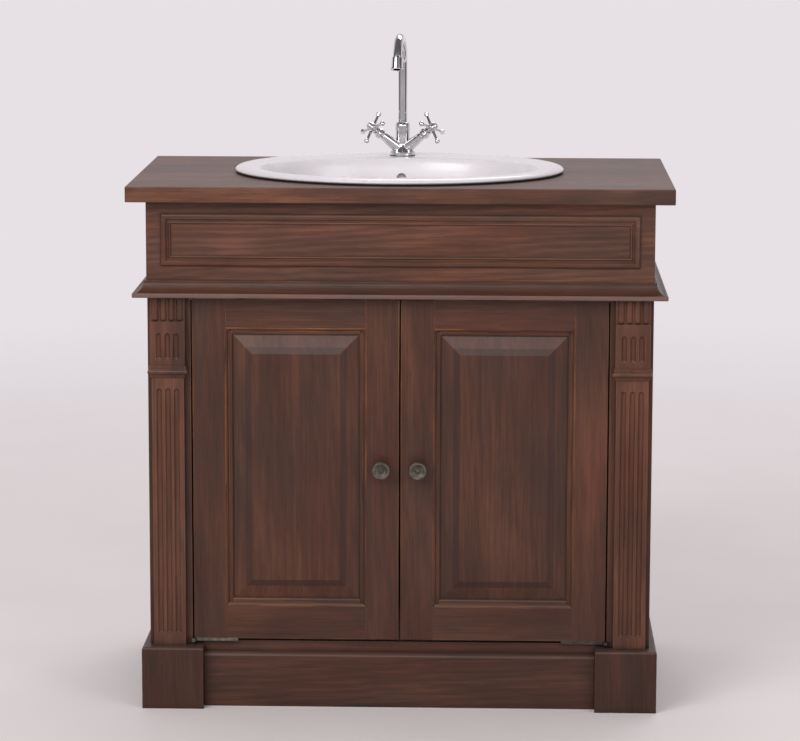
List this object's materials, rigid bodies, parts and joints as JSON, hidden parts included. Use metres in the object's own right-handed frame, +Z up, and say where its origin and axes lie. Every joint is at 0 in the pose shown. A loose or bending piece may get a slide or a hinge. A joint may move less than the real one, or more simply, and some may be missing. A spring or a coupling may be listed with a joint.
{
  "type": "washstand",
  "caption": "Freestanding wooden washstand with a moulded frieze, fluted pilasters, raised-panel doors, an inset oval basin and a swivel-spout mixer tap with cross handles.",
  "frame": {"origin": "middle of the bounding box at floor level", "axes": "+X to the right as seen from the front, +Y from the doors to the wall, +Z up"},
  "size_m": [0.9, 0.52, 1.1095],
  "materials": {
    "oak": "dark stained oak, satin",
    "back_board": "plain board, matt",
    "glaze": "white glaze, gloss",
    "chrome": "bright plate",
    "aged_metal": "aged, grey-green, worn rim",
    "steel": "satin",
    "rubber": "matt",
    "catch_plastic": "matt"
  },
  "bodies": {
    "cabinet": {"countertop": "oak", "left_side_panel": "oak", "right_side_panel": "oak", "bottom_board": "oak", "back_panel": "back_board", "back_top_rail": "oak", "front_top_rail": "oak", "frieze_board": "oak", "left_stile": "oak", "right_stile": "oak", "frieze_moulding": "oak", "cornice_front": "oak", "cornice_right": "oak", "cornice_left": "oak", "left_foot": "oak", "right_foot": "oak", "plinth_front": "oak", "plinth_left": "oak", "plinth_right": "oak", "left_pilaster": "oak", "right_pilaster": "oak", "left_capital": "oak", "right_capital": "oak", "left_hinge_plates": "aged_metal", "right_hinge_plates": "aged_metal", "door_catches": "catch_plastic", "basin": "glaze", "basin_seal": "rubber", "tap_body": "chrome", "tap_seal": "rubber", "tap_stud": "steel", "tap_clamp": "steel", "spout_nut": "chrome", "hot_bonnet": "chrome", "cold_bonnet": "chrome", "waste_body": "chrome", "waste_seal": "rubber", "waste_nut": "chrome", "trap_body": "chrome", "trap_outlet": "chrome", "trap_cup": "chrome"},
    "left_door": {"left_door_stiles": "oak", "left_door_rails": "oak", "left_door_panel": "oak", "left_knob": "aged_metal", "left_hinge_leaves": "aged_metal", "left_door_strike": "steel"},
    "right_door": {"right_door_stiles": "oak", "right_door_rails": "oak", "right_door_panel": "oak", "right_knob": "aged_metal", "right_hinge_leaves": "aged_metal", "right_door_strike": "steel"},
    "spout": {"spout_tube": "chrome", "aerator": "chrome"},
    "hot_cross": {"hot_handle": "chrome", "hot_cap": "chrome"},
    "cold_cross": {"cold_handle": "chrome", "cold_cap": "chrome"},
    "plug": {"waste_plug": "chrome"}
  },
  "joints": [
    {"name": "left_door_hinge", "type": "hinge", "parent": "cabinet", "child": "left_door", "pos_m": [-0.34625, -0.222, 0.4065], "axis": [0, 0, -1], "range_deg": [0, 110]},
    {"name": "right_door_hinge", "type": "hinge", "parent": "cabinet", "child": "right_door", "pos_m": [0.34625, -0.222, 0.4065], "axis": [0, 0, 1], "range_deg": [0, 110]},
    {"name": "spout_swivel", "type": "hinge", "parent": "cabinet", "child": "spout", "pos_m": [-0.008, 0.18, 0.95], "axis": [0, 0, 1], "range_deg": [-90, 90]},
    {"name": "hot_valve", "type": "hinge", "parent": "cabinet", "child": "hot_cross", "pos_m": [-0.008, 0.18, 0.9005], "axis": [-0.7208, -0.3438, 0.6018], "range_deg": [0, 180]},
    {"name": "cold_valve", "type": "hinge", "parent": "cabinet", "child": "cold_cross", "pos_m": [-0.008, 0.18, 0.9005], "axis": [0.7208, -0.3438, 0.6018], "range_deg": [0, 180]},
    {"name": "plug_lift", "type": "slide", "parent": "cabinet", "child": "plug", "axis": [0, 0, 1], "range_m": [0, 0.009]}
  ]
}
